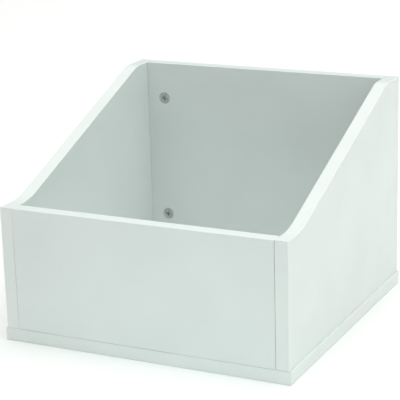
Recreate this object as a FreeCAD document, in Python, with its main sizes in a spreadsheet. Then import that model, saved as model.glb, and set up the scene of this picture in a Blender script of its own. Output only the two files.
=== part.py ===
import FreeCAD, Part
import enum
import math
import os
import Sketcher
from FreeCAD import Rotation, Vector

# Record storage box: open-topped box of white faced board, low in front and high behind.
# Millimetres and degrees. +Z is up, the front faces -Y, and the origin is the middle of the underside.

SIZES = {
    # box
    "outer_width": 360.0,
    "outer_depth": 360.0,
    "front_height": 164.0,
    "back_height": 270.0,
    "base_overhang": 2.0,
    # boards and their edge bands
    "board": 16.0,
    "band": 1.0,
    "band_round": 0.8,
    # top line of a side panel, from its low front to its high back
    "front_flat": 22.0,
    "dip_radius": 92.0,
    "crest_radius": 35.0,
    "rear_flat": 38.0,
    # cam locks, in the front and back panels
    "cam_diameter": 15.0,
    "cam_clearance": 0.1,
    "cam_recess": 0.2,
    "cam_floor_gap": 0.4,
    "cam_setback": 24.0,
    "cam_eccentricity": 1.2,
    "cam_rim": 1.3,
    "cam_foot": 0.8,
    "cam_slot_margin": 50.0,
    "cam_turn": 180.0,
    "driver_span": 7.0,
    "driver_width": 1.4,
    "driver_depth": 2.6,
    "arrow_length": 2.0,
    "arrow_depth": 0.4,
    # cam bolts, screwed into the side panels
    "bolt_thread": 5.0,
    "bolt_thread_length": 11.0,
    "bolt_point": 0.8,
    "bolt_shank": 7.0,
    "bolt_play": 0.5,
    "bolt_neck": 4.0,
    "neck_clearance": 0.3,
    "bolt_head": 6.4,
    "head_clearance": 0.3,
    "head_taper": 2.0,
    "head_chamfer": 0.6,
    "seat_gap": 0.15,
    "tip_gap": 0.2,
    # beech dowels
    "dowel": 8.0,
    "dowel_length": 30.0,
    "dowel_seat": 10.0,
    "dowel_chamfer": 1.0,
    # screws through the base
    "screw_head": 10.0,
    "screw_shank": 7.0,
    "screw_core": 5.0,
    "screw_length": 50.0,
    "screw_point": 3.0,
    "screw_sink": 0.3,
    "countersink_angle": 90.0,
    "hex_socket": 4.0,
    "hex_depth": 3.0,
    # drilling
    "hole_fit": 0.1,
    "hole_end_gap": 1.0,
    "front_cam_pitch": 64.0,
    "back_cam_pitch": 160.0,
    "back_dowel_pitch": 96.0,
    "side_screw_pitch": 120.0,
    "side_dowel_pitch": 120.0,
    "cross_screw_pitch": 160.0,
    "cross_dowel_pitch": 80.0,
}


class Axis(enum.IntEnum):
    """A sketch's own axes, as its constraints number them."""
    ACROSS = -1
    UPRIGHT = -2


class Spot(enum.IntEnum):
    """Points of a line or an arc, as the constraints of a sketch number them."""
    START = 1
    END = 2
    CENTRE = 3


ORIGIN = (Axis.ACROSS, Spot.START)

LEFT = -1
RIGHT = 1
FRONT = -1
BACK = 1
HALF_TURN = 180

# Largest rounding of an edge band, as a share of its thickness
ROUND_LIMIT = 0.9

# Places shared by several pieces, as formulas of the sheet
INNER_WIDTH = "(Dim.outer_width - 2 * Dim.board)"
BASE_WIDTH = "(Dim.outer_width + 2 * Dim.base_overhang)"
INNER_DEPTH = "(Dim.outer_depth - 2 * Dim.board)"
SIDE_MIDDLE = "((Dim.outer_width - Dim.board) / 2)"
CROSS_MIDDLE = "((Dim.outer_depth - Dim.board) / 2)"
FRONT_RISE = "(Dim.front_height - Dim.board)"
BACK_RISE = "(Dim.back_height - Dim.board)"
CAM_X = f"({INNER_WIDTH} / 2 - Dim.cam_setback)"
CAM_HOLE = "(Dim.cam_diameter + 2 * Dim.cam_clearance)"
CAM_AXIS = "(Dim.board / 2 - Dim.cam_recess)"
CAM_HEIGHT = f"({CAM_AXIS} + Dim.bolt_head / 2 + Dim.cam_foot)"
CAM_PLATE = f"({CAM_AXIS} - Dim.bolt_head / 2 - Dim.head_clearance)"
CAVITY_RADIUS = "(Dim.cam_diameter / 2 - Dim.cam_eccentricity - Dim.cam_rim)"
DOWEL_HOLE = "(Dim.dowel + 2 * Dim.hole_fit)"
DOWEL_SEAT_DEPTH = "(Dim.dowel_seat + Dim.hole_end_gap)"
DOWEL_EDGE_DEPTH = "(Dim.dowel_length - Dim.dowel_seat + Dim.hole_end_gap)"
PILOT_HOLE = "(Dim.screw_core + 2 * Dim.hole_fit)"
PILOT_DEPTH = "(Dim.screw_length + Dim.screw_sink - Dim.board + Dim.hole_end_gap)"

doc = FreeCAD.newDocument("RecordStorageBox")
sheet = doc.addObject("Spreadsheet::Sheet", "Dim")
for row, (alias, number) in enumerate(SIZES.items(), start=1):
    sheet.set(f"A{row}", alias)
    sheet.set(f"B{row}", str(number))
    sheet.setAlias(f"B{row}", alias)
doc.recompute()


# Sketches

def new_body(label):
    body = doc.addObject("PartDesign::Body", label)
    body.Label = label
    return body


def origin_plane(body, role):
    return next(item for item in body.Origin.OriginFeatures if item.Role == role)


def new_sketch(body, name, role, height=None):
    """Sketch on one of the body's origin planes, raised along the plane's normal."""
    sketch = body.newObject("Sketcher::SketchObject", f"{body.Name}_{name}")
    sketch.AttachmentSupport = [(origin_plane(body, role), "")]
    sketch.MapMode = "FlatFace"
    if height:
        sketch.setExpression("AttachmentOffset.Base.z", height)
    return sketch


def bind(sketch, formula, kind, *where, drawn=1.0):
    """Dimension whose value is a formula of the sheet, added at the size already drawn."""
    index = sketch.addConstraint(Sketcher.Constraint(kind, *where, drawn))
    sketch.setExpression(f"Constraints[{index}]", formula)


def place_point(sketch, point, across, up):
    """Dimension a point from the sketch's origin. None puts it on that axis."""
    spot = sketch.getPoint(*point)
    if across is None:
        sketch.addConstraint(Sketcher.Constraint("PointOnObject", *point, Axis.UPRIGHT))
    else:
        bind(sketch, across, "DistanceX", *ORIGIN, *point, drawn=spot.x)
    if up is None:
        sketch.addConstraint(Sketcher.Constraint("PointOnObject", *point, Axis.ACROSS))
    else:
        bind(sketch, up, "DistanceY", *ORIGIN, *point, drawn=spot.y)


def add_polygon(sketch, corners):
    """Closed outline of straight lines through corners given as formulas."""
    count = len(corners)
    first = sketch.GeometryCount
    ring = [Rotation(Vector(0, 0, 1), 360.0 * i / count).multVec(Vector(1, 0, 0)) for i in range(count)]
    for i in range(count):
        sketch.addGeometry(Part.LineSegment(ring[i], ring[(i + 1) % count]))
    for i, (across, up) in enumerate(corners):
        following = first + (i + 1) % count
        sketch.addConstraint(Sketcher.Constraint("Coincident", first + i, Spot.END, following, Spot.START))
        place_point(sketch, (first + i, Spot.START), across, up)


def add_rectangle(sketch, left, bottom, right, top):
    add_polygon(sketch, [(left, bottom), (right, bottom), (right, top), (left, top)])


def add_circle(sketch, across, up, diameter):
    circle = sketch.addGeometry(Part.Circle(Vector(1, 1, 0), Vector(0, 0, 1), 1.0))
    bind(sketch, diameter, "Diameter", circle)
    place_point(sketch, (circle, Spot.CENTRE), across, up)


# Features

def add_pad(body, sketch, length, flipped=False, both_ways=False):
    pad = body.newObject("PartDesign::Pad", f"{sketch.Name}_pad")
    pad.Profile = sketch
    pad.setExpression("Length", length)
    pad.Reversed = flipped
    if both_ways:
        pad.SideType = "Symmetric"
    return pad


def add_pocket(body, sketch, depth, flipped=False):
    pocket = body.newObject("PartDesign::Pocket", f"{sketch.Name}_pocket")
    pocket.Profile = sketch
    pocket.setExpression("Length", depth)
    pocket.Reversed = flipped
    return pocket


def add_revolution(body, sketch):
    revolution = body.newObject("PartDesign::Revolution", f"{sketch.Name}_turned")
    revolution.Profile = sketch
    revolution.ReferenceAxis = (sketch, ["V_Axis"])
    return revolution


def place(item, x=None, y=None, z=None, rotation=Rotation()):
    """Turn a piece and bind its place to the sheet."""
    item.Placement.Rotation = rotation
    for axis, formula in (("x", x), ("y", y), ("z", z)):
        if formula:
            item.setExpression(f"Placement.Base.{axis}", formula)


def negative(formula):
    return f"-({formula})"


def signed(sign, formula):
    return formula if sign > 0 else negative(formula)


def about_middle(middle, pitch):
    """Two places spread by a pitch about a middle."""
    return [f"({middle}) - {pitch} / 2", f"({middle}) + {pitch} / 2"]


# Heights of the fittings above the base, along the ends of the front and back panels
CAM_HEIGHTS = {
    FRONT: about_middle(f"{FRONT_RISE} / 2", "Dim.front_cam_pitch"),
    BACK: about_middle(f"{BACK_RISE} / 2", "Dim.back_cam_pitch"),
}
DOWEL_HEIGHTS = {
    FRONT: [f"{FRONT_RISE} / 2"],
    BACK: about_middle(f"{BACK_RISE} / 2", "Dim.back_dowel_pitch"),
}
SIDE_SCREWS = [negative("Dim.side_screw_pitch"), None, "Dim.side_screw_pitch"]
SIDE_DOWELS = [negative("Dim.side_dowel_pitch / 2"), "Dim.side_dowel_pitch / 2"]
CROSS_SCREWS = [negative("Dim.cross_screw_pitch / 2"), "Dim.cross_screw_pitch / 2"]
CROSS_DOWELS = [negative("Dim.cross_dowel_pitch / 2"), "Dim.cross_dowel_pitch / 2"]


def base_places(along_sides, along_cross):
    """Places in the base's plan: down the middle of the side walls, then of the front and back."""
    places = [(signed(side, SIDE_MIDDLE), y) for side in (LEFT, RIGHT) for y in along_sides]
    return places + [(x, signed(end, CROSS_MIDDLE)) for end in (FRONT, BACK) for x in along_cross]


SCREW_PLACES = base_places(SIDE_SCREWS, CROSS_SCREWS)
DOWEL_PLACES = base_places(SIDE_DOWELS, CROSS_DOWELS)


# Boards

def make_base_panel():
    body = new_body("base_panel")
    half_width = f"{BASE_WIDTH} / 2 - Dim.band"
    half_depth = "Dim.outer_depth / 2 - Dim.band"
    outline = new_sketch(body, "outline", "XY_Plane")
    add_rectangle(outline, negative(half_width), negative(half_depth), half_width, half_depth)
    add_pad(body, outline, "Dim.board")

    dowel_holes = new_sketch(body, "dowel_holes", "XY_Plane", "Dim.board")
    for x, y in DOWEL_PLACES:
        add_circle(dowel_holes, x, y, DOWEL_HOLE)
    add_pocket(body, dowel_holes, DOWEL_SEAT_DEPTH)

    screw_holes = new_sketch(body, "screw_holes", "XY_Plane")
    for x, y in SCREW_PLACES:
        add_circle(screw_holes, x, y, "Dim.screw_shank")
    doc.recompute()
    hole = body.newObject("PartDesign::Hole", "screw_clearance")
    hole.Profile = screw_holes
    hole.ThreadType = "None"
    hole.DepthType = "ThroughAll"
    hole.HoleCutType = "Countersink"
    hole.Reversed = True
    hole.setExpression("HoleCutCountersinkAngle", "Dim.countersink_angle")
    hole.setExpression("Diameter", "Dim.screw_shank + 2 * Dim.hole_fit")
    hole.setExpression("HoleCutDiameter", "Dim.screw_head + 2 * Dim.screw_sink + 2 * Dim.hole_fit")
    return body


def make_cross_panel(label, end, rise):
    """Front or back panel: its inner face at y = 0, its thickness towards -y, its foot at z = 0."""
    body = new_body(label)
    half = f"{INNER_WIDTH} / 2"
    middle = negative("Dim.board / 2")
    outline = new_sketch(body, "outline", "XZ_Plane")
    add_polygon(outline, [
        (negative(half), None),
        (half, None),
        (half, f"{rise} - Dim.band"),
        (negative(half), f"{rise} - Dim.band"),
    ])
    add_pad(body, outline, "Dim.board")

    cam_holes = new_sketch(body, "cam_holes", "XZ_Plane")
    for side in (LEFT, RIGHT):
        for height in CAM_HEIGHTS[end]:
            add_circle(cam_holes, signed(side, CAM_X), height, CAM_HOLE)
    add_pocket(body, cam_holes, f"Dim.cam_recess + {CAM_HEIGHT} + Dim.cam_floor_gap", flipped=True)

    pilot_holes = new_sketch(body, "pilot_holes", "XY_Plane")
    for x in CROSS_SCREWS:
        add_circle(pilot_holes, x, middle, PILOT_HOLE)
    add_pocket(body, pilot_holes, PILOT_DEPTH, flipped=True)

    foot_dowel_holes = new_sketch(body, "foot_dowel_holes", "XY_Plane")
    for x in CROSS_DOWELS:
        add_circle(foot_dowel_holes, x, middle, DOWEL_HOLE)
    add_pocket(body, foot_dowel_holes, DOWEL_EDGE_DEPTH, flipped=True)

    bolt_bores = new_sketch(body, "bolt_bores", "YZ_Plane", half)
    for height in CAM_HEIGHTS[end]:
        add_circle(bolt_bores, middle, height, "Dim.bolt_shank + 2 * Dim.bolt_play")
    bores = add_pocket(body, bolt_bores, "Dim.cam_setback")

    end_dowel_holes = new_sketch(body, "end_dowel_holes", "YZ_Plane", half)
    for height in DOWEL_HEIGHTS[end]:
        add_circle(end_dowel_holes, middle, height, DOWEL_HOLE)
    dowels = add_pocket(body, end_dowel_holes, DOWEL_EDGE_DEPTH)

    mirrored = body.newObject("PartDesign::Mirrored", f"{label}_other_end")
    mirrored.Originals = [bores, dowels]
    mirrored.MirrorPlane = (origin_plane(body, "YZ_Plane"), [""])
    body.Tip = mirrored
    turn = Rotation(Vector(0, 0, 1), 0 if end == FRONT else HALF_TURN)
    place(body, y=signed(end, f"{INNER_DEPTH} / 2"), z="Dim.board", rotation=turn)
    return body


def add_top_line(sketch, inset, inset_formula):
    """Swept top line of a side panel, sunk below its finished surface by an inset.

    The line is rear flat, crest arc, slope, dip arc and front flat, each tangent to the next.
    Returns the two flats, whose far ends are still free.
    """
    dip_radius = SIZES["dip_radius"] + inset
    crest_radius = SIZES["crest_radius"] - inset
    half_depth = SIZES["outer_depth"] / 2
    dip_centre = Vector(
        SIZES["front_flat"] - half_depth,
        SIZES["front_height"] - SIZES["board"] + SIZES["dip_radius"],
    )
    crest_centre = Vector(
        half_depth - SIZES["rear_flat"],
        SIZES["back_height"] - SIZES["board"] - SIZES["crest_radius"],
    )
    apart = crest_centre - dip_centre
    angle = math.atan2(apart.y, apart.x) + math.asin((dip_radius + crest_radius) / apart.Length)

    flat_back = Vector(crest_centre.x, crest_centre.y + crest_radius)
    flat_front = Vector(dip_centre.x, dip_centre.y - dip_radius)
    normal = Vector(-math.sin(angle), math.cos(angle))
    slope_foot = dip_centre - normal * dip_radius
    slope_head = crest_centre + normal * crest_radius
    upright = math.pi / 2
    out_of_sketch = Vector(0, 0, 1)

    rear = sketch.addGeometry(Part.LineSegment(Vector(half_depth, flat_back.y), flat_back))
    crest = sketch.addGeometry(
        Part.ArcOfCircle(Part.Circle(crest_centre, out_of_sketch, crest_radius), upright, upright + angle))
    slope = sketch.addGeometry(Part.LineSegment(slope_foot, slope_head))
    dip = sketch.addGeometry(
        Part.ArcOfCircle(Part.Circle(dip_centre, out_of_sketch, dip_radius), -upright, angle - upright))
    front = sketch.addGeometry(Part.LineSegment(flat_front, Vector(-half_depth, flat_front.y)))

    for pair in ((rear, Spot.END, crest, Spot.START), (crest, Spot.END, slope, Spot.END),
                 (slope, Spot.START, dip, Spot.END), (dip, Spot.START, front, Spot.START)):
        sketch.addConstraint(Sketcher.Constraint("Tangent", *pair))
    for flat in (rear, front):
        sketch.addConstraint(Sketcher.Constraint("Horizontal", flat))
    bind(sketch, f"Dim.dip_radius + {inset_formula}", "Radius", dip, drawn=dip_radius)
    bind(sketch, f"Dim.crest_radius - {inset_formula}", "Radius", crest, drawn=crest_radius)
    place_point(sketch, (dip, Spot.CENTRE), negative("Dim.outer_depth / 2 - Dim.front_flat"),
                f"{FRONT_RISE} + Dim.dip_radius")
    place_point(sketch, (crest, Spot.CENTRE), "Dim.outer_depth / 2 - Dim.rear_flat",
                f"{BACK_RISE} - Dim.crest_radius")
    return rear, front


def make_side_panel(label, side):
    """Side panel: its inner face at x = 0, its thickness outwards, its foot at z = 0."""
    body = new_body(label)
    outwards = side == RIGHT
    half_depth = "Dim.outer_depth / 2 - Dim.band"
    outline = new_sketch(body, "outline", "YZ_Plane")
    rear, front = add_top_line(outline, SIZES["band"], "Dim.band")
    top_back = outline.getPoint(rear, Spot.START)
    top_front = outline.getPoint(front, Spot.END)
    foot_back = Vector(top_back.x, 0)
    foot_front = Vector(top_front.x, 0)
    front_edge = outline.addGeometry(Part.LineSegment(top_front, foot_front))
    foot = outline.addGeometry(Part.LineSegment(foot_front, foot_back))
    back_edge = outline.addGeometry(Part.LineSegment(foot_back, top_back))
    chain = [front, front_edge, foot, back_edge, rear]
    for one, following in zip(chain, chain[1:]):
        outline.addConstraint(Sketcher.Constraint("Coincident", one, Spot.END, following, Spot.START))
    for upright in (front_edge, back_edge):
        outline.addConstraint(Sketcher.Constraint("Vertical", upright))
    place_point(outline, (foot, Spot.START), negative(half_depth), None)
    place_point(outline, (foot, Spot.END), half_depth, None)
    add_pad(body, outline, "Dim.board", flipped=not outwards)

    bolt_holes = new_sketch(body, "bolt_holes", "YZ_Plane")
    dowel_holes = new_sketch(body, "dowel_holes", "YZ_Plane")
    for end in (FRONT, BACK):
        for height in CAM_HEIGHTS[end]:
            add_circle(bolt_holes, signed(end, CROSS_MIDDLE), height, "Dim.bolt_thread + 2 * Dim.hole_fit")
        for height in DOWEL_HEIGHTS[end]:
            add_circle(dowel_holes, signed(end, CROSS_MIDDLE), height, DOWEL_HOLE)
    add_pocket(body, bolt_holes, "Dim.bolt_thread_length + Dim.hole_end_gap", flipped=outwards)
    add_pocket(body, dowel_holes, DOWEL_SEAT_DEPTH, flipped=outwards)

    middle = signed(side, "Dim.board / 2")
    pilot_holes = new_sketch(body, "pilot_holes", "XY_Plane")
    for y in SIDE_SCREWS:
        add_circle(pilot_holes, middle, y, PILOT_HOLE)
    add_pocket(body, pilot_holes, PILOT_DEPTH, flipped=True)

    foot_dowel_holes = new_sketch(body, "foot_dowel_holes", "XY_Plane")
    for y in SIDE_DOWELS:
        add_circle(foot_dowel_holes, middle, y, DOWEL_HOLE)
    add_pocket(body, foot_dowel_holes, DOWEL_EDGE_DEPTH, flipped=True)
    place(body, x=signed(side, f"{INNER_WIDTH} / 2"), z="Dim.board")
    return body


# Edge bands

def facing(outward, across):
    """Rotation that turns a strip's glued face away from outward, with its width along across."""
    return Rotation(across.cross(outward), across, outward, "ZXY")


def ease_outer_edges(body, strip, is_outer):
    """Round the long edges of a strip's outer face."""
    doc.recompute()
    names = [f"Edge{i}" for i, edge in enumerate(strip.Shape.Edges, start=1) if is_outer(edge)]
    fillet = body.newObject("PartDesign::Fillet", f"{body.Name}_eased")
    fillet.Base = (strip, names)
    fillet.setExpression("Radius", f"min(Dim.band_round; {ROUND_LIMIT} * Dim.band)")


def make_straight_band(label, length, rotation, x=None, y=None, z=None):
    """Flat strip along x, glued at z = 0, with its width along y."""
    body = new_body(label)
    half = "Dim.board / 2"
    section = new_sketch(body, "section", "YZ_Plane")
    add_polygon(section, [
        (negative(half), None),
        (half, None),
        (half, "Dim.band"),
        (negative(half), "Dim.band"),
    ])
    strip = add_pad(body, section, length, both_ways=True)

    def is_outer(edge):
        first, last = (vertex.Point for vertex in edge.Vertexes)
        return abs(first.x - last.x) > SIZES["board"] and first.z > SIZES["band"] / 2

    ease_outer_edges(body, strip, is_outer)
    place(body, x, y, z, rotation)
    return body


def make_top_band(label, side):
    """Strip along the swept top line of a side panel, over the ends of its front and back strips."""
    body = new_body(label)
    section = new_sketch(body, "section", "YZ_Plane")
    outer_ends = add_top_line(section, 0.0, "0")
    outer_line = Part.Compound([curve.toShape() for curve in section.Geometry])
    inner_ends = add_top_line(section, SIZES["band"], "Dim.band")
    half_depth = "Dim.outer_depth / 2"
    reaches = (half_depth, negative(half_depth))
    for outer, inner, point, reach in zip(outer_ends, inner_ends, (Spot.START, Spot.END), reaches):
        spots = [section.getPoint(flat, point) for flat in (outer, inner)]
        cap = section.addGeometry(Part.LineSegment(*spots))
        section.addConstraint(Sketcher.Constraint("Coincident", outer, point, cap, Spot.START))
        section.addConstraint(Sketcher.Constraint("Coincident", inner, point, cap, Spot.END))
        section.addConstraint(Sketcher.Constraint("Vertical", cap))
        bind(section, reach, "DistanceX", *ORIGIN, cap, Spot.START, drawn=spots[0].x)
    strip = add_pad(body, section, "Dim.board", flipped=side == LEFT)

    def is_outer(edge):
        first, last = (vertex.Point for vertex in edge.Vertexes)
        middle = edge.valueAt((edge.FirstParameter + edge.LastParameter) / 2)
        in_section = Part.Vertex(middle.y, middle.z, 0)
        on_line = in_section.distToShape(outer_line)[0] < SIZES["band"] / 4
        return on_line and abs(first.x - last.x) < SIZES["band"]

    ease_outer_edges(body, strip, is_outer)
    place(body, x=signed(side, f"{INNER_WIDTH} / 2"), z="Dim.board")
    return body


def make_bands():
    depth_face = "Dim.outer_depth / 2 - Dim.band"
    base_face = f"{BASE_WIDTH} / 2 - Dim.band"
    x_axis = Vector(1, 0, 0)
    y_axis = Vector(0, 1, 0)
    z_axis = Vector(0, 0, 1)
    bands = []
    for end, name, rise, height in ((FRONT, "front", FRONT_RISE, "Dim.front_height"),
                                    (BACK, "back", BACK_RISE, "Dim.back_height")):
        outward = facing(y_axis * end, z_axis)
        bands.append(make_straight_band(
            f"base_{name}_edge_band", BASE_WIDTH, outward, y=signed(end, depth_face), z="Dim.board / 2"))
        bands.append(make_straight_band(
            f"{name}_panel_top_edge_band", INNER_WIDTH, facing(z_axis, y_axis),
            y=signed(end, CROSS_MIDDLE), z=f"{height} - Dim.band"))
        for side, hand in ((LEFT, "left"), (RIGHT, "right")):
            bands.append(make_straight_band(
                f"{hand}_side_{name}_edge_band", f"{rise} - Dim.band", facing(y_axis * end, x_axis),
                x=signed(side, SIDE_MIDDLE), y=signed(end, depth_face),
                z=f"Dim.board + ({rise} - Dim.band) / 2"))
    for side, hand in ((LEFT, "left"), (RIGHT, "right")):
        bands.append(make_straight_band(
            f"base_{hand}_edge_band", "Dim.outer_depth - 2 * Dim.band", facing(x_axis * side, z_axis),
            x=signed(side, base_face), z="Dim.board / 2"))
        bands.append(make_top_band(f"{hand}_side_top_edge_band", side))
    return bands


# Cam locks and their bolts

def make_cam():
    """Cam with its driver face at z = 0, locked on a bolt that comes in along the x axis.

    The head of the bolt enters by the mouth, at -x, and the eccentric wall draws it in as the cam turns.
    """
    body = new_body("cam")
    disc = new_sketch(body, "disc", "XY_Plane")
    add_circle(disc, None, None, "Dim.cam_diameter")
    add_pad(body, disc, CAM_HEIGHT, flipped=True)

    cavity = new_sketch(body, "cavity", "XY_Plane", negative(CAM_HEIGHT))
    add_circle(cavity, negative("Dim.cam_eccentricity"), None, f"2 * {CAVITY_RADIUS}")
    add_pocket(body, cavity, f"{CAM_HEIGHT} - {CAM_PLATE}", flipped=True)

    mouth = new_sketch(body, "mouth", "XY_Plane", negative(CAM_HEIGHT))
    half_mouth = "Dim.bolt_head / 2 + Dim.head_clearance"
    add_rectangle(mouth, negative("Dim.cam_diameter"), negative(half_mouth),
                  negative("Dim.cam_eccentricity"), half_mouth)
    add_pocket(body, mouth, f"{CAM_HEIGHT} - {CAM_PLATE}", flipped=True)

    neck_slot = new_sketch(body, "neck_slot", "XZ_Plane")
    half_slot = "(Dim.bolt_neck / 2 + Dim.neck_clearance)"
    add_rectangle(neck_slot, "Dim.cam_eccentricity", f"-{CAM_AXIS} - {half_slot}",
                  "Dim.cam_diameter", f"-{CAM_AXIS} + {half_slot}")
    groove = body.newObject("PartDesign::Groove", "neck_slot_cut")
    groove.Profile = neck_slot
    groove.ReferenceAxis = (neck_slot, ["V_Axis"])
    groove.Type = "TwoAngles"
    groove.setExpression("Angle", "Dim.cam_slot_margin")
    groove.setExpression("Angle2", "Dim.cam_turn")

    cross = new_sketch(body, "cross", "XY_Plane")
    arm = "Dim.driver_span / 2"
    rib = "Dim.driver_width / 2"
    quarter = [(arm, negative(rib)), (arm, rib), (rib, rib)]
    half = quarter + [(negative(up), across) for across, up in quarter]
    corners = half + [(negative(across), negative(up)) for across, up in half]
    add_polygon(cross, corners)
    add_pocket(body, cross, "Dim.driver_depth")

    arrow = new_sketch(body, "arrow", "XY_Plane")
    tip = "Dim.cam_diameter / 2 - Dim.cam_rim"
    add_polygon(arrow, [
        (negative(tip), None),
        (negative(f"{tip} - Dim.arrow_length"), negative("Dim.arrow_length / 2")),
        (negative(f"{tip} - Dim.arrow_length"), "Dim.arrow_length / 2"),
    ])
    add_pocket(body, arrow, "Dim.arrow_depth")
    return body


def make_cam_bolt():
    """Bolt along z: its thread below z = 0, in the side panel, and its head by the cam's axis."""
    body = new_body("cam_bolt")
    thread = "Dim.bolt_thread / 2"
    shank = "Dim.bolt_shank / 2"
    neck = "Dim.bolt_neck / 2"
    head = "Dim.bolt_head / 2"
    wall = f"({CAVITY_RADIUS} - Dim.cam_eccentricity)"
    taper_start = f"({wall} - Dim.seat_gap + Dim.head_taper * Dim.neck_clearance)"
    taper_end = f"({taper_start} - Dim.head_taper * ({head} - {neck}))"
    shank_end = f"Dim.cam_setback - {CAM_HOLE} / 2 - Dim.bolt_play"
    tip = "Dim.cam_setback - Dim.tip_gap"
    profile = new_sketch(body, "profile", "XZ_Plane")
    add_polygon(profile, [
        (None, negative("Dim.bolt_thread_length")),
        (f"{thread} - Dim.bolt_point", negative("Dim.bolt_thread_length")),
        (thread, negative("Dim.bolt_thread_length - Dim.bolt_point")),
        (thread, None),
        (shank, None),
        (shank, shank_end),
        (neck, shank_end),
        (neck, f"Dim.cam_setback - {taper_start}"),
        (head, f"Dim.cam_setback - {taper_end}"),
        (head, f"{tip} - Dim.head_chamfer"),
        (f"{head} - Dim.head_chamfer", tip),
        (None, tip),
    ])
    add_revolution(body, profile)
    return body


# Dowels and screws

def make_dowel():
    body = new_body("dowel")
    radius = "Dim.dowel / 2"
    profile = new_sketch(body, "profile", "XZ_Plane")
    add_polygon(profile, [
        (None, None),
        (f"{radius} - Dim.dowel_chamfer", None),
        (radius, "Dim.dowel_chamfer"),
        (radius, "Dim.dowel_length - Dim.dowel_chamfer"),
        (f"{radius} - Dim.dowel_chamfer", "Dim.dowel_length"),
        (None, "Dim.dowel_length"),
    ])
    add_revolution(body, profile)
    return body


def make_base_screw():
    """Countersunk screw along z, with its head at z = 0."""
    body = new_body("base_screw")
    head = "Dim.screw_head / 2"
    shank = "Dim.screw_shank / 2"
    core = "Dim.screw_core / 2"
    shank_end = "Dim.board - Dim.screw_sink - Dim.hole_fit"
    profile = new_sketch(body, "profile", "XZ_Plane")
    add_polygon(profile, [
        (None, None),
        (head, None),
        (shank, f"({head} - {shank}) / tan(Dim.countersink_angle / 2)"),
        (shank, shank_end),
        (core, shank_end),
        (core, "Dim.screw_length - Dim.screw_point"),
        (f"{core} / 2", "Dim.screw_length"),
        (None, "Dim.screw_length"),
    ])
    add_revolution(body, profile)

    socket = new_sketch(body, "socket", "XY_Plane")
    corner = "Dim.hex_socket / sqrt(3)"
    flat = "Dim.hex_socket / 2"
    add_polygon(socket, [
        (corner, None),
        (f"{corner} / 2", flat),
        (negative(f"{corner} / 2"), flat),
        (negative(corner), None),
        (negative(f"{corner} / 2"), negative(flat)),
        (f"{corner} / 2", negative(flat)),
    ])
    add_pocket(body, socket, "Dim.hex_depth", flipped=True)
    return body


def make_link(label, master, x, y, z, rotation=Rotation()):
    link = doc.addObject("App::Link", label)
    link.Label = label
    link.LinkedObject = master
    place(link, x, y, z, rotation)
    return link


def make_group(label, master, places):
    """One piece of several identical solids, each a placed copy of the master."""
    group = doc.addObject("Part::Compound", label)
    group.Label = label
    group.Links = [make_link(f"{label}_{i}", master, *where) for i, where in enumerate(places, start=1)]
    return group


def make_fittings():
    cam = make_cam()
    cam_bolt = make_cam_bolt()
    dowel = make_dowel()
    base_screw = make_base_screw()
    upright = Vector(0, 0, 1)
    fittings = []
    for end, name in ((FRONT, "front"), (BACK, "back")):
        bolts = []
        dowels = []
        for side, hand in ((LEFT, "left"), (RIGHT, "right")):
            to_bolt = Vector(side, 0, 0)
            into_bay = Vector(0, -end, 0)
            cam_turned = Rotation(to_bolt, into_bay.cross(to_bolt), into_bay, "ZXY")
            from_side = Rotation(upright, Vector(-side, 0, 0))
            for level, height in zip(("lower", "upper"), CAM_HEIGHTS[end]):
                fittings.append(make_link(
                    f"{name}_{hand}_{level}_cam", cam, signed(side, CAM_X),
                    signed(end, f"{INNER_DEPTH} / 2 + Dim.cam_recess"),
                    f"Dim.board + {height}", cam_turned))
                bolts.append((signed(side, f"{INNER_WIDTH} / 2"), signed(end, CROSS_MIDDLE),
                              f"Dim.board + {height}", from_side))
            for height in DOWEL_HEIGHTS[end]:
                dowels.append((signed(side, f"{INNER_WIDTH} / 2 + Dim.dowel_seat"),
                               signed(end, CROSS_MIDDLE), f"Dim.board + {height}", from_side))
        fittings.append(make_group(f"{name}_cam_bolts", cam_bolt, bolts))
        fittings.append(make_group(f"{name}_dowels", dowel, dowels))
    fittings.append(make_group(
        "base_dowels", dowel, [(x, y, "Dim.board - Dim.dowel_seat") for x, y in DOWEL_PLACES]))
    fittings.append(make_group(
        "base_screws", base_screw, [(x, y, "Dim.screw_sink") for x, y in SCREW_PLACES]))
    return fittings


def make_boards():
    return [
        make_base_panel(),
        make_cross_panel("front_panel", FRONT, FRONT_RISE),
        make_cross_panel("back_panel", BACK, BACK_RISE),
        make_side_panel("left_side_panel", LEFT),
        make_side_panel("right_side_panel", RIGHT),
    ]


# Build, test and write

CUTS = ("PartDesign::Pocket", "PartDesign::Groove", "PartDesign::Hole")

pieces = make_boards() + make_bands() + make_fittings()
doc.recompute()

for item in doc.Objects:
    if {"Invalid", "Error"} & set(item.State):
        raise RuntimeError(f"{item.Label} failed: {item.State}")
    if item.TypeId in CUTS and item.Shape.Volume >= item.BaseFeature.Shape.Volume:
        raise RuntimeError(f"{item.Label} cuts nothing")

shapes = {piece.Label: Part.getShape(piece) for piece in pieces}
for label, shape in shapes.items():
    if shape.isNull() or not shape.isValid():
        raise RuntimeError(f"{label} has no valid shape")

os.makedirs("parts", exist_ok=True)
for label, shape in shapes.items():
    shape.exportStep(f"parts/{label}.step")
    print(f"{label}: {len(shape.Solids)} solids, {shape.Volume:.1f} mm3")
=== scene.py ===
import math

import bmesh
import bpy
from mathutils import Matrix, Vector


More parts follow.
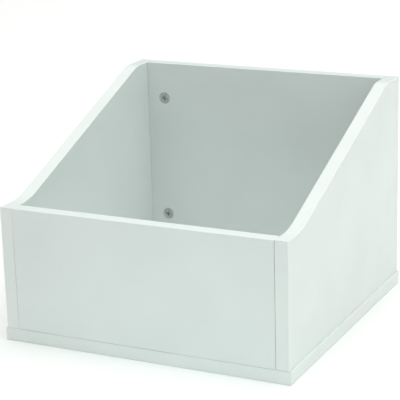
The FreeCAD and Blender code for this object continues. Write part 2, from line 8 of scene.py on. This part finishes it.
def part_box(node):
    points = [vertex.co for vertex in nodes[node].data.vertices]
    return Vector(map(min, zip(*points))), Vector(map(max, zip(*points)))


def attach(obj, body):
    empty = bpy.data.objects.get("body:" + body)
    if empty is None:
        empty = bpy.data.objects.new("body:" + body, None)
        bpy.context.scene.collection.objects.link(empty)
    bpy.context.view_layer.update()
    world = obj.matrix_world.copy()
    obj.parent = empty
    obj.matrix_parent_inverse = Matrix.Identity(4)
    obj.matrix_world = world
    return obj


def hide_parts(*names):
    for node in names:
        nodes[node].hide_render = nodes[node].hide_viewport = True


# Looks of a record storage box: white faced boards with plastic edge bands, cam locks, bolts, dowels
# and screws. The box stands on z = 0, its low front faces -Y and +X is on its right.
# Lengths are in metres, and colours in linear light.

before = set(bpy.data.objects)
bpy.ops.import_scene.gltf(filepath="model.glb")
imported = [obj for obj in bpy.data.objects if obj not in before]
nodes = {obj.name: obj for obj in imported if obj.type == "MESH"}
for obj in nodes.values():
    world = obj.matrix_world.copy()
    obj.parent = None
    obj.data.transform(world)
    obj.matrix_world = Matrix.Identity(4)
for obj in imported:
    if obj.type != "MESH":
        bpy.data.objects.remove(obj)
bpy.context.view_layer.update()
MM = 0.001
X, Z = 0, 2

# Pieces of each kind
BOARDS = [name for name in nodes if name.endswith("_panel")]
BANDS = [name for name in nodes if name.endswith("_edge_band")]
CAMS = [name for name in nodes if name.endswith("_cam")]
BOLTS = [name for name in nodes if name.endswith("_bolts")]
DOWELS = [name for name in nodes if name.endswith("_dowels")]
SCREWS = [name for name in nodes if name.endswith("_screws")]

# Pieces with edges that butt against another board
SIDE_WALLS = ["left_side", "right_side"]
CROSS_PANELS = ["front_panel", "back_panel"]
UPRIGHT_BANDS = [f"{wall}_{end}_edge_band" for wall in SIDE_WALLS for end in ("front", "back")]
WALL_FEET = [*CROSS_PANELS, *[f"{wall}_panel" for wall in SIDE_WALLS], *UPRIGHT_BANDS]
BASE_ENDS = ["base_front_edge_band", "base_back_edge_band"]

# Camera at the photograph's angle, with its lens and sensor in millimetres
CAMERA_TARGET = Vector((-10.8, 0.0, 140.4)) * MM
CAMERA_AZIMUTH = math.radians(26.3)
CAMERA_ELEVATION = math.radians(16.37)
CAMERA_ROLL = math.radians(-1.62)
CAMERA_DISTANCE = 1830.9 * MM
CAMERA_LENS = 135.76
CAMERA_SENSOR = 36.0

# Light tent: its colours near the ground and overhead, and its strength in general and at the crown
TENT_LOW = (0.74, 1.02, 1.03, 1.0)
TENT_HIGH = (1.07, 1.03, 1.01, 1.0)
TENT_GLOW = 0.78
TENT_CROWN = 1.36

# Softboxes round the box
SOFTBOX_DISTANCE = 2.6
SOFTBOX_SIZE = 1.6
SOFTBOX_COLOUR = (0.97, 1.03, 0.98)
SOFTBOXES = {
    "right_softbox": {"azimuth": math.radians(75), "elevation": math.radians(30), "power": 12.0},
    "rear_softbox": {"azimuth": math.radians(165), "elevation": math.radians(30), "power": 8.5},
}

# Pool of light on the floor before the box
POOL_PLACE = Vector((0.4, -1.6, 1.4))
POOL_MIDDLE = Vector((0.09, -0.38, 0.0))
POOL_POWER = 21.0
POOL_COLOUR = (0.65, 0.97, 1.0)
POOL_CONE = math.radians(19)
POOL_LAMP = 0.1

# Floor
FLOOR_HALF = 6.0
FLOOR_WHITE = (0.93, 0.92, 0.91, 1.0)
FLOOR_CLOUD = 400 * MM
FLOOR_ROUGHNESS = (0.6, 0.7)

# Range that holds most values of a noise pattern
NOISE_RANGE = (0.3, 0.7)

# Faced board: melamine paper with a pearl grain, over a core of chips and fibres
BOARD_WHITE = (0.785, 0.825, 0.81, 1.0)
BOARD_SHADE = (0.72, 0.76, 0.745, 1.0)
BOARD_CLOUD = 90 * MM
BOARD_PEARL = 0.9 * MM
BOARD_RELIEF = 0.05 * MM
BOARD_ROUGHNESS = (0.34, 0.48)
BOARD_IOR = 1.5
FACE_PAPER = 0.15 * MM
CHIP_PALE = (0.56, 0.40, 0.23, 1.0)
CHIP_DARK = (0.26, 0.16, 0.08, 1.0)
CHIP_SIZE = 2.2 * MM
FIBRE_SIZE = 0.5 * MM
CORE_ROUGHNESS = 0.92

# Edge band: extruded plastic with a fine ripple
BAND_WHITE = (0.80, 0.835, 0.815, 1.0)
BAND_SHADE = (0.75, 0.785, 0.765, 1.0)
BAND_CLOUD = 60 * MM
BAND_RIPPLE = 1.4 * MM
BAND_RELIEF = 0.04 * MM
BAND_ROUGHNESS = (0.28, 0.40)
BAND_IOR = 1.53

# Joints between boards: painted shade of the hairline gaps, which are more or less open along their length
PAINTED_GAP_SHADE = (0.40, 0.41, 0.41, 1.0)
JOINT_LINE = 0.25 * MM
JOINT_STRETCH = 52 * MM
JOINT_NOISE = (0.35, 0.62)
JOINT_OPENNESS = (0.15, 1.0)

# Metals
ZINC = {
    "pale": (0.66, 0.67, 0.69, 1.0),
    "dark": (0.44, 0.45, 0.47, 1.0),
    "grain": 2.5 * MM,
    "roughness": (0.32, 0.48),
    "relief": 0.02 * MM,
}
STEEL = {
    "pale": (0.74, 0.73, 0.70, 1.0),
    "dark": (0.56, 0.55, 0.53, 1.0),
    "grain": 1.5 * MM,
    "roughness": (0.22, 0.36),
    "relief": 0.01 * MM,
}
PITS_ACROSS_GRAIN = 6

# Beech: the stretch is how many times longer than wide its grain is
BEECH_PALE = (0.66, 0.45, 0.26, 1.0)
BEECH_DARK = (0.47, 0.28, 0.14, 1.0)
BEECH_STRETCH = 12.5
BEECH_GRAIN = 1.2 * MM
BEECH_GRAIN_RANGE = (0.3, 0.75)
BEECH_FLECK = 0.4 * MM
BEECH_FLECK_RANGE = (0.62, 0.70)
BEECH_RELIEF = 0.04 * MM
BEECH_ROUGHNESS = (0.55, 0.75)

# Cam bolts: radii, and heights from the end of the thread to the tip of the head
BOLT_THREAD = 11.0 * MM
BOLT_THREAD_CREST = 2.5 * MM
BOLT_THREAD_DEPTH = 0.55 * MM
BOLT_THREAD_PITCH = 1.8 * MM
BOLT_SHANK = 3.5 * MM
BOLT_SHANK_END = 26.9 * MM
BOLT_NECK = 2.0 * MM
BOLT_NECK_END = 30.75 * MM
BOLT_HEAD = 3.2 * MM
BOLT_HEAD_START = 33.15 * MM
BOLT_TIP = 34.8 * MM
BOLT_CHAMFER = 0.6 * MM
BOLT_SPIN = {"Sides": 32, "Thread Pitch": BOLT_THREAD_PITCH, "Thread Depth": BOLT_THREAD_DEPTH}

# Dowels
DOWEL = 4.0 * MM
DOWEL_LENGTH = 30.0 * MM
DOWEL_CHAMFER = 1.0 * MM
DOWEL_FLUTES = 24
DOWEL_FLUTE_DEPTH = 0.3 * MM
SIDES_PER_FLUTE = 4
DOWEL_SPIN = {
    "Sides": SIDES_PER_FLUTE * DOWEL_FLUTES,
    "Thread Pitch": DOWEL_LENGTH,
    "Flutes": DOWEL_FLUTES,
    "Flute Depth": DOWEL_FLUTE_DEPTH,
}

# Screws through the base: radii, and heights from the face of the head to the point
SCREW_HEAD = 5.0 * MM
SCREW_SOCKET = 2.0 * MM
SCREW_SOCKET_DEPTH = 3.0 * MM
SCREW_SHANK = 3.5 * MM
SCREW_SHANK_END = 15.6 * MM
SCREW_THREAD_CREST = 3.3 * MM
SCREW_THREAD_DEPTH = 1.0 * MM
SCREW_THREAD_PITCH = 3.0 * MM
SCREW_LENGTH = 50.0 * MM
SCREW_POINT = 4.0 * MM
SCREW_SPIN = {"Sides": 36, "Thread Pitch": SCREW_THREAD_PITCH, "Thread Depth": SCREW_THREAD_DEPTH}

# Meshes: points closer than the weld are one, and edges sharper than the crease stay sharp
WELD = 0.001 * MM
CREASE = math.radians(35)
ROWS_PER_THREAD_TURN = 8
CAM_FLAT = math.radians(1)
CAM_BEVEL = 0.12 * MM
CAM_BEVEL_SEGMENTS = 2
CAM_BEVEL_ANGLE = math.radians(40)


class Graph:
    """Node tree with short calls to add nodes and link them."""

    def __init__(self, tree):
        self.tree = tree

    def set(self, socket, value):
        """Link a socket to another node's output, or give it a value of its own."""
        if isinstance(value, bpy.types.NodeSocket):
            self.tree.links.new(value, socket)
        else:
            socket.default_value = value

    def add(self, kind, inputs=None, **settings):
        node = self.tree.nodes.new(kind)
        for name, value in settings.items():
            setattr(node, name, value)
        for key, value in (inputs or {}).items():
            self.set(node.inputs[key], value)
        return node

    def math(self, operation, *values):
        return self.add("ShaderNodeMath", dict(enumerate(values)), operation=operation).outputs[0]

    def product(self, first, *others):
        for other in others:
            first = self.math("MULTIPLY", first, other)
        return first

    def spread(self, value, low, high, to_low=0.0, to_high=1.0):
        """Output that runs from to_low to to_high as value runs from low to high."""
        inputs = {"Value": value, "From Min": low, "From Max": high, "To Min": to_low, "To Max": to_high}
        return self.add("ShaderNodeMapRange", inputs).outputs["Result"]

    def blend(self, factor, first, second):
        return self.add("ShaderNodeMix", {"Factor": factor, "A": first, "B": second}).outputs["Result"]

    def blend_colours(self, factor, first, second):
        node = self.add("ShaderNodeMix", {"Factor": factor}, data_type="RGBA")
        colours = [socket for socket in node.inputs if socket.type == "RGBA"]
        for socket, value in zip(colours, (first, second)):
            self.set(socket, value)
        return next(socket for socket in node.outputs if socket.type == "RGBA")

    def noise(self, coordinates, size, detail=2.0):
        """Cloudy pattern from 0 to 1, with features of about the given size."""
        inputs = {"Vector": coordinates, "Scale": 1.0 / size, "Detail": detail}
        return self.add("ShaderNodeTexNoise", inputs).outputs["Fac"]

    def bump(self, height, depth):
        """Normal of a surface whose height, from 0 to 1, stands for a depth in metres."""
        return self.add("ShaderNodeBump", {"Height": height, "Distance": depth}).outputs["Normal"]

    def separate(self, vector):
        return self.add("ShaderNodeSeparateXYZ", {"Vector": vector}).outputs


# Finishes

class Finish(Graph):
    """Material with one shader, patterned on the object's own coordinates."""

    def __init__(self, name):
        self.material = bpy.data.materials.new(name)
        self.material.use_nodes = True
        super().__init__(self.material.node_tree)
        self.shader = self.tree.nodes["Principled BSDF"]
        self.coordinates = self.add("ShaderNodeTexCoord").outputs["Object"]

    def give(self, **inputs):
        """Set or link the shader's sockets, named with underscores for spaces."""
        for name, value in inputs.items():
            self.set(self.shader.inputs[name.replace("_", " ")], value)
        return self.material

    def mottle(self, cloud, grain):
        """Tone from 0 to 1, half of it broad clouds and half a fine grain, and the grain by itself."""
        broad = self.noise(self.coordinates, cloud, detail=3.0)
        fine = self.noise(self.coordinates, grain, detail=3.0)
        halves = [self.spread(pattern, *NOISE_RANGE, 0.0, 0.5) for pattern in (broad, fine)]
        return self.math("ADD", *halves), fine

    def paint_gap_shade(self, colour, planes):
        """Painted shade of the hairline gaps where a piece butts against others, at planes of (axis,
        place).
        """
        places = self.separate(self.coordinates)
        changes = self.noise(self.coordinates, JOINT_STRETCH)
        openness = self.spread(changes, *JOINT_NOISE, *JOINT_OPENNESS)
        for axis, place in planes:
            line = self.math("COMPARE", places[axis], place, JOINT_LINE)
            # Painted shade: the colour stands in for the gap's shadow, darker where the noise opens the
            # hairline more
            colour = self.blend_colours(self.product(line, openness), colour, PAINTED_GAP_SHADE)
        return colour


def butted_planes(node):
    """Planes of (axis, place) at the edges of a piece that butt against another board."""
    low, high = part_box(node)
    planes = []
    if node in CROSS_PANELS:
        planes += [(X, low.x), (X, high.x)]
    if node in UPRIGHT_BANDS:
        planes.append((X, min(low.x, high.x, key=abs)))
    if node in WALL_FEET:
        planes.append((Z, low.z))
    if node in BASE_ENDS:
        planes.append((Z, high.z))
    return planes


def faced_board(node):
    """White melamine faces over a chipboard core, which shows in the holes."""
    low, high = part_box(node)
    axis = min(range(3), key=lambda i: high[i] - low[i])
    finish = Finish(f"faced_board_{node}")
    spot = finish.coordinates
    across = finish.separate(spot)[axis]
    from_low = finish.math("SUBTRACT", across, low[axis])
    from_high = finish.math("SUBTRACT", high[axis], across)
    core = finish.math("GREATER_THAN", finish.math("MINIMUM", from_low, from_high), FACE_PAPER)

    tone, pearl = finish.mottle(BOARD_CLOUD, BOARD_PEARL)
    face = finish.blend_colours(tone, BOARD_WHITE, BOARD_SHADE)

    chips = finish.add("ShaderNodeTexVoronoi", {"Vector": spot, "Scale": 1.0 / CHIP_SIZE})
    chip_tone = finish.add("ShaderNodeSeparateColor", {"Color": chips.outputs["Color"]}).outputs[0]
    fibres = finish.noise(spot, FIBRE_SIZE, detail=4.0)
    chip = finish.blend_colours(finish.product(chip_tone, fibres), CHIP_PALE, CHIP_DARK)

    colour = finish.blend_colours(core, face, chip)
    face_roughness = finish.spread(tone, 0.0, 1.0, *BOARD_ROUGHNESS)
    # The board's colour carries painted shade along the edges that butt against other boards
    return finish.give(
        Base_Color=finish.paint_gap_shade(colour, butted_planes(node)),
        Roughness=finish.blend(core, face_roughness, CORE_ROUGHNESS),
        Normal=finish.bump(finish.blend(core, pearl, fibres), BOARD_RELIEF),
        IOR=BOARD_IOR)


def edge_band(node):
    """Extruded white plastic strip, a little smoother than the board's face."""
    finish = Finish(f"edge_band_{node}")
    tone, ripple = finish.mottle(BAND_CLOUD, BAND_RIPPLE)
    colour = finish.blend_colours(tone, BAND_WHITE, BAND_SHADE)
    # The band's colour carries painted shade along the edges that butt against other boards
    return finish.give(
        Base_Color=finish.paint_gap_shade(colour, butted_planes(node)),
        Roughness=finish.spread(tone, 0.0, 1.0, *BAND_ROUGHNESS),
        Normal=finish.bump(ripple, BAND_RELIEF),
        IOR=BAND_IOR)


def metal(name, pale, dark, grain, roughness, relief):
    """Bare metal with a mottled grain and fine pits."""
    finish = Finish(name)
    mottle = finish.noise(finish.coordinates, grain, detail=4.0)
    pits = finish.noise(finish.coordinates, grain / PITS_ACROSS_GRAIN)
    return finish.give(
        Base_Color=finish.blend_colours(finish.spread(mottle, *NOISE_RANGE), pale, dark),
        Roughness=finish.spread(mottle, *NOISE_RANGE, *roughness),
        Normal=finish.bump(pits, relief),
        Metallic=1.0)


def beech(name, axis):
    """Raw beech with its grain along one axis, and the short dark flecks of that wood."""
    scale = [1.0, 1.0, 1.0]
    scale[axis] = 1.0 / BEECH_STRETCH
    finish = Finish(name)
    mapping = finish.add("ShaderNodeMapping", {"Vector": finish.coordinates, "Scale": scale})
    along = mapping.outputs["Vector"]
    grain = finish.noise(along, BEECH_GRAIN, detail=4.0)
    flecks = finish.noise(along, BEECH_FLECK, detail=1.0)
    tone = finish.math(
        "MAXIMUM", finish.spread(grain, *BEECH_GRAIN_RANGE), finish.spread(flecks, *BEECH_FLECK_RANGE))
    return finish.give(
        Base_Color=finish.blend_colours(tone, BEECH_PALE, BEECH_DARK),
        Roughness=finish.spread(grain, *NOISE_RANGE, *BEECH_ROUGHNESS),
        Normal=finish.bump(grain, BEECH_RELIEF))


def pale_floor():
    finish = Finish("pale_floor")
    clouds = finish.noise(finish.coordinates, FLOOR_CLOUD)
    return finish.give(
        Base_Color=FLOOR_WHITE,
        Roughness=finish.spread(clouds, *NOISE_RANGE, *FLOOR_ROUGHNESS))


def dress(node, material):
    """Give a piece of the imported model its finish."""
    slots = nodes[node].data.materials
    slots.clear()
    slots.append(material)


# Turned fittings: a profile spun about its axis, with a screw thread, flutes or a hexagon socket

def turned_fittings_tree():
    """Geometry nodes that spin a profile, and stand a copy of it on each seat along the seat's facing."""
    tree = bpy.data.node_groups.new("turned_fittings", "GeometryNodeTree")
    graph = Graph(tree)
    tree.interface.new_socket("Seats", in_out="INPUT", socket_type="NodeSocketGeometry")
    sizes = {
        "Profile": "Object", "Sides": "Int", "Thread Pitch": "Float", "Thread Depth": "Float",
        "Flutes": "Int", "Flute Depth": "Float", "Finish": "Material",
    }
    for name, kind in sizes.items():
        tree.interface.new_socket(name, in_out="INPUT", socket_type=f"NodeSocket{kind}")
    tree.interface.new_socket("Fittings", in_out="OUTPUT", socket_type="NodeSocketGeometry")
    given = graph.add("NodeGroupInput").outputs

    # A grid with a column for each side and a row for each point of the profile
    profile = graph.add("GeometryNodeObjectInfo", {"Object": given["Profile"]}).outputs["Geometry"]
    rows = graph.add("GeometryNodeAttributeDomainSize", {"Geometry": profile}).outputs["Point Count"]
    columns = graph.math("ADD", given["Sides"], 1.0)
    grid = graph.add("GeometryNodeMeshGrid", {"Vertices X": columns, "Vertices Y": rows})
    index = graph.add("GeometryNodeInputIndex").outputs["Index"]
    row = graph.math("MODULO", index, rows)
    column = graph.math("FLOOR", graph.math("DIVIDE", index, rows))
    turns = graph.math("DIVIDE", column, given["Sides"])
    angle = graph.product(turns, math.tau)

    def from_profile(value, kind):
        inputs = {"Geometry": profile, "Value": value, "Index": row}
        return graph.add("GeometryNodeSampleIndex", inputs, data_type=kind).outputs["Value"]

    def marked(name):
        mark = graph.add("GeometryNodeInputNamedAttribute", {"Name": name}, data_type="FLOAT")
        return from_profile(mark.outputs["Attribute"], "FLOAT")

    position = graph.add("GeometryNodeInputPosition").outputs["Position"]
    radius, _, height = graph.separate(from_profile(position, "FLOAT_VECTOR"))

    # The thread climbs one pitch in each turn, and goes in from the crest to the root and out again
    climb = graph.math("SUBTRACT", graph.math("DIVIDE", height, given["Thread Pitch"]), turns)
    towards_root = graph.product(graph.math("PINGPONG", climb, 0.5), 2.0)
    sunk = graph.product(towards_root, given["Thread Depth"], marked("thread"))
    ripple = graph.math("COSINE", graph.product(angle, given["Flutes"]))
    flute = graph.product(graph.spread(ripple, -1.0, 1.0), given["Flute Depth"], marked("flute"))

    # A hexagon is widest at its corners, a sixth of a turn apart
    sixth = math.tau / 6
    from_flat = graph.math("WRAP", angle, sixth / 2, -sixth / 2)
    widening = graph.math("SUBTRACT", graph.math("DIVIDE", 1.0, graph.math("COSINE", from_flat)), 1.0)
    widened = graph.math("MULTIPLY_ADD", widening, marked("hexagon"), 1.0)

    radius = graph.math("SUBTRACT", graph.product(radius, widened), graph.math("ADD", sunk, flute))
    place = graph.add("ShaderNodeCombineXYZ", {
        "X": graph.product(radius, graph.math("COSINE", angle)),
        "Y": graph.product(radius, graph.math("SINE", angle)),
        "Z": height,
    }).outputs["Vector"]
    moved = graph.add("GeometryNodeSetPosition", {"Geometry": grid.outputs["Mesh"], "Position": place})
    spun = moved.outputs["Geometry"]
    closed = graph.add("GeometryNodeMergeByDistance", {"Geometry": spun, "Distance": WELD})

    facing = graph.add("GeometryNodeInputNamedAttribute", {"Name": "facing"}, data_type="FLOAT_VECTOR")
    turned = graph.add("FunctionNodeAlignRotationToVector", {"Vector": facing.outputs["Attribute"]})
    copies = graph.add("GeometryNodeInstanceOnPoints", {
        "Points": given["Seats"],
        "Instance": closed.outputs["Geometry"],
        "Rotation": turned.outputs["Rotation"],
    }).outputs["Instances"]
    solid = graph.add("GeometryNodeRealizeInstances", {"Geometry": copies}).outputs["Geometry"]
    finished = graph.add("GeometryNodeSetMaterial", {"Geometry": solid, "Material": given["Finish"]})
    graph.add("NodeGroupOutput", {"Fittings": finished.outputs["Geometry"]})
    return tree


def new_object(name, data):
    item = bpy.data.objects.new(name, data)
    bpy.context.scene.collection.objects.link(item)
    return item


def solids_of(node):
    """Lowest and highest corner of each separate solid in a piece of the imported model."""
    shape = bmesh.new()
    shape.from_mesh(nodes[node].data)
    bmesh.ops.remove_doubles(shape, verts=shape.verts, dist=WELD)
    seen = set()
    boxes = []
    for start in shape.verts:
        if start in seen:
            continue
        solid = {start}
        newest = {start}
        while newest:
            newest = {edge.other_vert(vert) for vert in newest for edge in vert.link_edges} - solid
            solid |= newest
        seen |= solid
        low, high = [Vector(pick(vert.co[i] for vert in solid) for i in range(3)) for pick in (min, max)]
        boxes.append((low, high))
    shape.free()
    return boxes


def seats_of(node):
    """Where each fitting of a node starts, and the direction that it faces.

    A fitting that lies along the box starts at its outer end, and one that stands at its lower end.
    """
    seats = []
    for low, high in solids_of(node):
        start = (low + high) / 2
        axis = max(range(3), key=lambda i: high[i] - low[i])
        outer_is_low = axis == Z or start[axis] < 0
        facing = Vector((0.0, 0.0, 0.0))
        facing[axis] = 1.0 if outer_is_low else -1.0
        start[axis] = low[axis] if outer_is_low else high[axis]
        seats.append((start, facing))
    return seats


def finish_mesh(mesh):
    """Turn the faces outwards and smooth them, but for the sharp edges."""
    shape = bmesh.new()
    shape.from_mesh(mesh)
    bmesh.ops.recalc_face_normals(shape, faces=shape.faces)
    shape.to_mesh(mesh)
    shape.free()
    mesh.polygons.foreach_set("use_smooth", [True] * len(mesh.polygons))
    mesh.set_sharp_from_angle(angle=CREASE)


def turned_fittings(node, name, tree, profile_rows, finish, spin):
    """Piece that stands for a node: a profile of (radius, height, mark) rows, spun on each of its seats."""
    seats = seats_of(node)
    seat_mesh = bpy.data.meshes.new(f"{name}_seats")
    seat_mesh.from_pydata([start for start, _ in seats], [], [])
    facing = seat_mesh.attributes.new("facing", "FLOAT_VECTOR", "POINT")
    facing.data.foreach_set("vector", [number for _, direction in seats for number in direction])
    piece = new_object(name, seat_mesh)

    profile_mesh = bpy.data.meshes.new(f"{name}_profile")
    profile_mesh.from_pydata([(radius, 0.0, height) for radius, height, _ in profile_rows], [], [])
    for mark in ("thread", "flute", "hexagon"):
        values = [1.0 if row_mark == mark else 0.0 for _, _, row_mark in profile_rows]
        profile_mesh.attributes.new(mark, "FLOAT", "POINT").data.foreach_set("value", values)
    profile = new_object(f"{name}_profile", profile_mesh)

    modifier = piece.modifiers.new("turned", "NODES")
    modifier.node_group = tree
    settings = {"Profile": profile, "Finish": finish, **spin}
    for socket in tree.interface.items_tree:
        if socket.in_out == "INPUT" and socket.name in settings:
            modifier[socket.identifier] = settings[socket.name]
    depsgraph = bpy.context.evaluated_depsgraph_get()
    mesh = bpy.data.meshes.new_from_object(piece.evaluated_get(depsgraph))
    piece.modifiers.remove(modifier)
    piece.data = mesh
    bpy.data.objects.remove(profile)
    finish_mesh(mesh)
    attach(piece, "box")
    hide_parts(node)
    return piece


def steps(start, end, count):
    """Evenly spaced numbers from start to end, both included."""
    return [start + (end - start) * i / count for i in range(count + 1)]


def thread_rows(crest, start, end, pitch):
    """Rows of a threaded stretch, with enough of them to draw each turn of the thread."""
    count = round((end - start) / pitch * ROWS_PER_THREAD_TURN)
    return [(crest, height, "thread") for height in steps(start, end, count)]


def bolt_profile():
    root = BOLT_THREAD_CREST - BOLT_THREAD_DEPTH
    shoulder = BOLT_CHAMFER / 2
    return [
        (0.0, 0.0, None),
        (root - BOLT_CHAMFER, 0.0, None),
        (root, BOLT_CHAMFER, None),
        *thread_rows(BOLT_THREAD_CREST, BOLT_CHAMFER, BOLT_THREAD, BOLT_THREAD_PITCH),
        (BOLT_SHANK - shoulder, BOLT_THREAD, None),
        (BOLT_SHANK, BOLT_THREAD + shoulder, None),
        (BOLT_SHANK, BOLT_SHANK_END - BOLT_CHAMFER, None),
        (BOLT_SHANK - BOLT_CHAMFER, BOLT_SHANK_END, None),
        (BOLT_NECK, BOLT_SHANK_END, None),
        (BOLT_NECK, BOLT_NECK_END, None),
        (BOLT_HEAD, BOLT_HEAD_START, None),
        (BOLT_HEAD, BOLT_TIP - BOLT_CHAMFER, None),
        (BOLT_HEAD - BOLT_CHAMFER, BOLT_TIP, None),
        (0.0, BOLT_TIP, None),
    ]


def dowel_profile():
    tip = DOWEL - DOWEL_CHAMFER
    return [
        (0.0, 0.0, None),
        (tip, 0.0, None),
        (DOWEL, DOWEL_CHAMFER, "flute"),
        (DOWEL, DOWEL_LENGTH - DOWEL_CHAMFER, "flute"),
        (tip, DOWEL_LENGTH, None),
        (0.0, DOWEL_LENGTH, None),
    ]


def screw_profile():
    root = SCREW_THREAD_CREST - SCREW_THREAD_DEPTH
    cone = SCREW_HEAD - SCREW_SHANK
    thread_start = SCREW_SHANK_END + SCREW_SHANK - root
    thread_end = SCREW_LENGTH - SCREW_POINT
    blunt_end = root / 2
    return [
        (0.0, SCREW_SOCKET_DEPTH, None),
        (SCREW_SOCKET, SCREW_SOCKET_DEPTH, "hexagon"),
        (SCREW_SOCKET, 0.0, "hexagon"),
        (SCREW_HEAD, 0.0, None),
        (SCREW_SHANK, cone, None),
        (SCREW_SHANK, SCREW_SHANK_END, None),
        (root, thread_start, None),
        *thread_rows(SCREW_THREAD_CREST, thread_start, thread_end, SCREW_THREAD_PITCH),
        (root, thread_end, None),
        (blunt_end, SCREW_LENGTH, None),
        (0.0, SCREW_LENGTH, None),
    ]


def make_turned_fittings():
    tree = turned_fittings_tree()
    steel = metal("plated_steel", **STEEL)
    for node in BOLTS:
        bolts = turned_fittings(node, f"{node}_threaded", tree, bolt_profile(), steel, BOLT_SPIN)
    for node in SCREWS:
        screws = turned_fittings(node, f"{node}_threaded", tree, screw_profile(), steel, SCREW_SPIN)
    for node in DOWELS:
        wood = beech(f"beech_{node}", Z if node.startswith("base") else X)
        dowels = turned_fittings(node, f"{node}_fluted", tree, dowel_profile(), wood, DOWEL_SPIN)


# Cam locks: zinc castings with softened edges

def joined_flats(mesh):
    """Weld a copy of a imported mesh, and join the triangles that lie flat against each other."""
    shape = bmesh.new()
    shape.from_mesh(mesh)
    bmesh.ops.remove_doubles(shape, verts=shape.verts, dist=WELD)
    bmesh.ops.dissolve_limit(
        shape, angle_limit=CAM_FLAT, verts=shape.verts, edges=shape.edges,
        use_dissolve_boundaries=False)
    shape.to_mesh(mesh)
    shape.free()


def make_cams():
    zinc = metal("zinc_casting", **ZINC)
    for node in CAMS:
        mesh = nodes[node].data.copy()
        joined_flats(mesh)
        mesh.materials.clear()
        mesh.materials.append(zinc)
        finish_mesh(mesh)
        casting = new_object(f"{node}_casting", mesh)
        bevel = casting.modifiers.new("softened_edges", "BEVEL")
        bevel.width = CAM_BEVEL
        bevel.segments = CAM_BEVEL_SEGMENTS
        bevel.limit_method = "ANGLE"
        bevel.angle_limit = CAM_BEVEL_ANGLE
        bevel.harden_normals = True
        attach(casting, node)
        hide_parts(node)


# Stage

def make_floor():
    half = FLOOR_HALF
    mesh = bpy.data.meshes.new("floor")
    corners = [(-half, -half, 0.0), (half, -half, 0.0), (half, half, 0.0), (-half, half, 0.0)]
    mesh.from_pydata(corners, [], [(0, 1, 2, 3)])
    mesh.materials.append(pale_floor())
    floor = new_object("floor", mesh)


def direction(azimuth, elevation):
    """Unit vector towards a place round the box: azimuth 0 is in front, a quarter turn on the right."""
    level = math.cos(elevation)
    return Vector((math.sin(azimuth) * level, -math.cos(azimuth) * level, math.sin(elevation)))


def aim(item, back, roll=0.0):
    """Turn a camera or light so that it looks against back."""
    right = Vector((0.0, 0.0, 1.0)).cross(back).normalized()
    up = back.cross(right)
    turned_right = right * math.cos(roll) + up * math.sin(roll)
    turned_up = up * math.cos(roll) - right * math.sin(roll)
    rotation = Matrix((turned_right, turned_up, back)).transposed().to_4x4()
    item.matrix_world = Matrix.Translation(item.location) @ rotation


def make_camera():
    camera = bpy.data.cameras.new("camera")
    camera.lens = CAMERA_LENS
    camera.sensor_width = CAMERA_SENSOR
    item = new_object("camera", camera)
    back = direction(CAMERA_AZIMUTH, CAMERA_ELEVATION)
    item.location = CAMERA_TARGET + back * CAMERA_DISTANCE
    aim(item, back, CAMERA_ROLL)
    bpy.context.scene.camera = item


def make_softbox(name, azimuth, elevation, power):
    """Square area light that faces the middle of the box."""
    light = bpy.data.lights.new(name, "AREA")
    light.size = SOFTBOX_SIZE
    light.energy = power
    light.color = SOFTBOX_COLOUR
    item = new_object(name, light)
    back = direction(azimuth, elevation)
    item.location = CAMERA_TARGET + back * SOFTBOX_DISTANCE
    aim(item, back)


def make_pool():
    """Spotlight on the floor before the box, which lights the foot of its front from below."""
    light = bpy.data.lights.new("floor_pool", "SPOT")
    light.energy = POOL_POWER
    light.color = POOL_COLOUR
    light.spot_size = POOL_CONE
    light.spot_blend = 1.0
    light.shadow_soft_size = POOL_LAMP
    item = new_object("floor_pool", light)
    item.location = POOL_PLACE
    aim(item, (POOL_PLACE - POOL_MIDDLE).normalized())


def make_tent():
    """Light tent that is dark and cool near the ground, and brightest and warm overhead."""
    world = bpy.data.worlds.new("light_tent")
    world.use_nodes = True
    graph = Graph(world.node_tree)
    towards = graph.add("ShaderNodeTexCoord").outputs["Generated"]
    rise = graph.math("MAXIMUM", graph.separate(towards)[Z], 0.0)
    crown = graph.product(rise, rise, TENT_CROWN)
    background = world.node_tree.nodes["Background"]
    graph.set(background.inputs["Color"], graph.blend_colours(rise, TENT_LOW, TENT_HIGH))
    graph.set(background.inputs["Strength"], graph.product(rise, graph.math("ADD", crown, TENT_GLOW)))
    bpy.context.scene.world = world


for board in BOARDS:
    dress(board, faced_board(board))
for band in BANDS:
    dress(band, edge_band(band))
make_turned_fittings()
make_cams()
make_floor()
make_camera()
make_tent()
make_pool()
for softbox, setting in SOFTBOXES.items():
    make_softbox(softbox, **setting)
bpy.context.scene.view_settings.view_transform = "Standard"
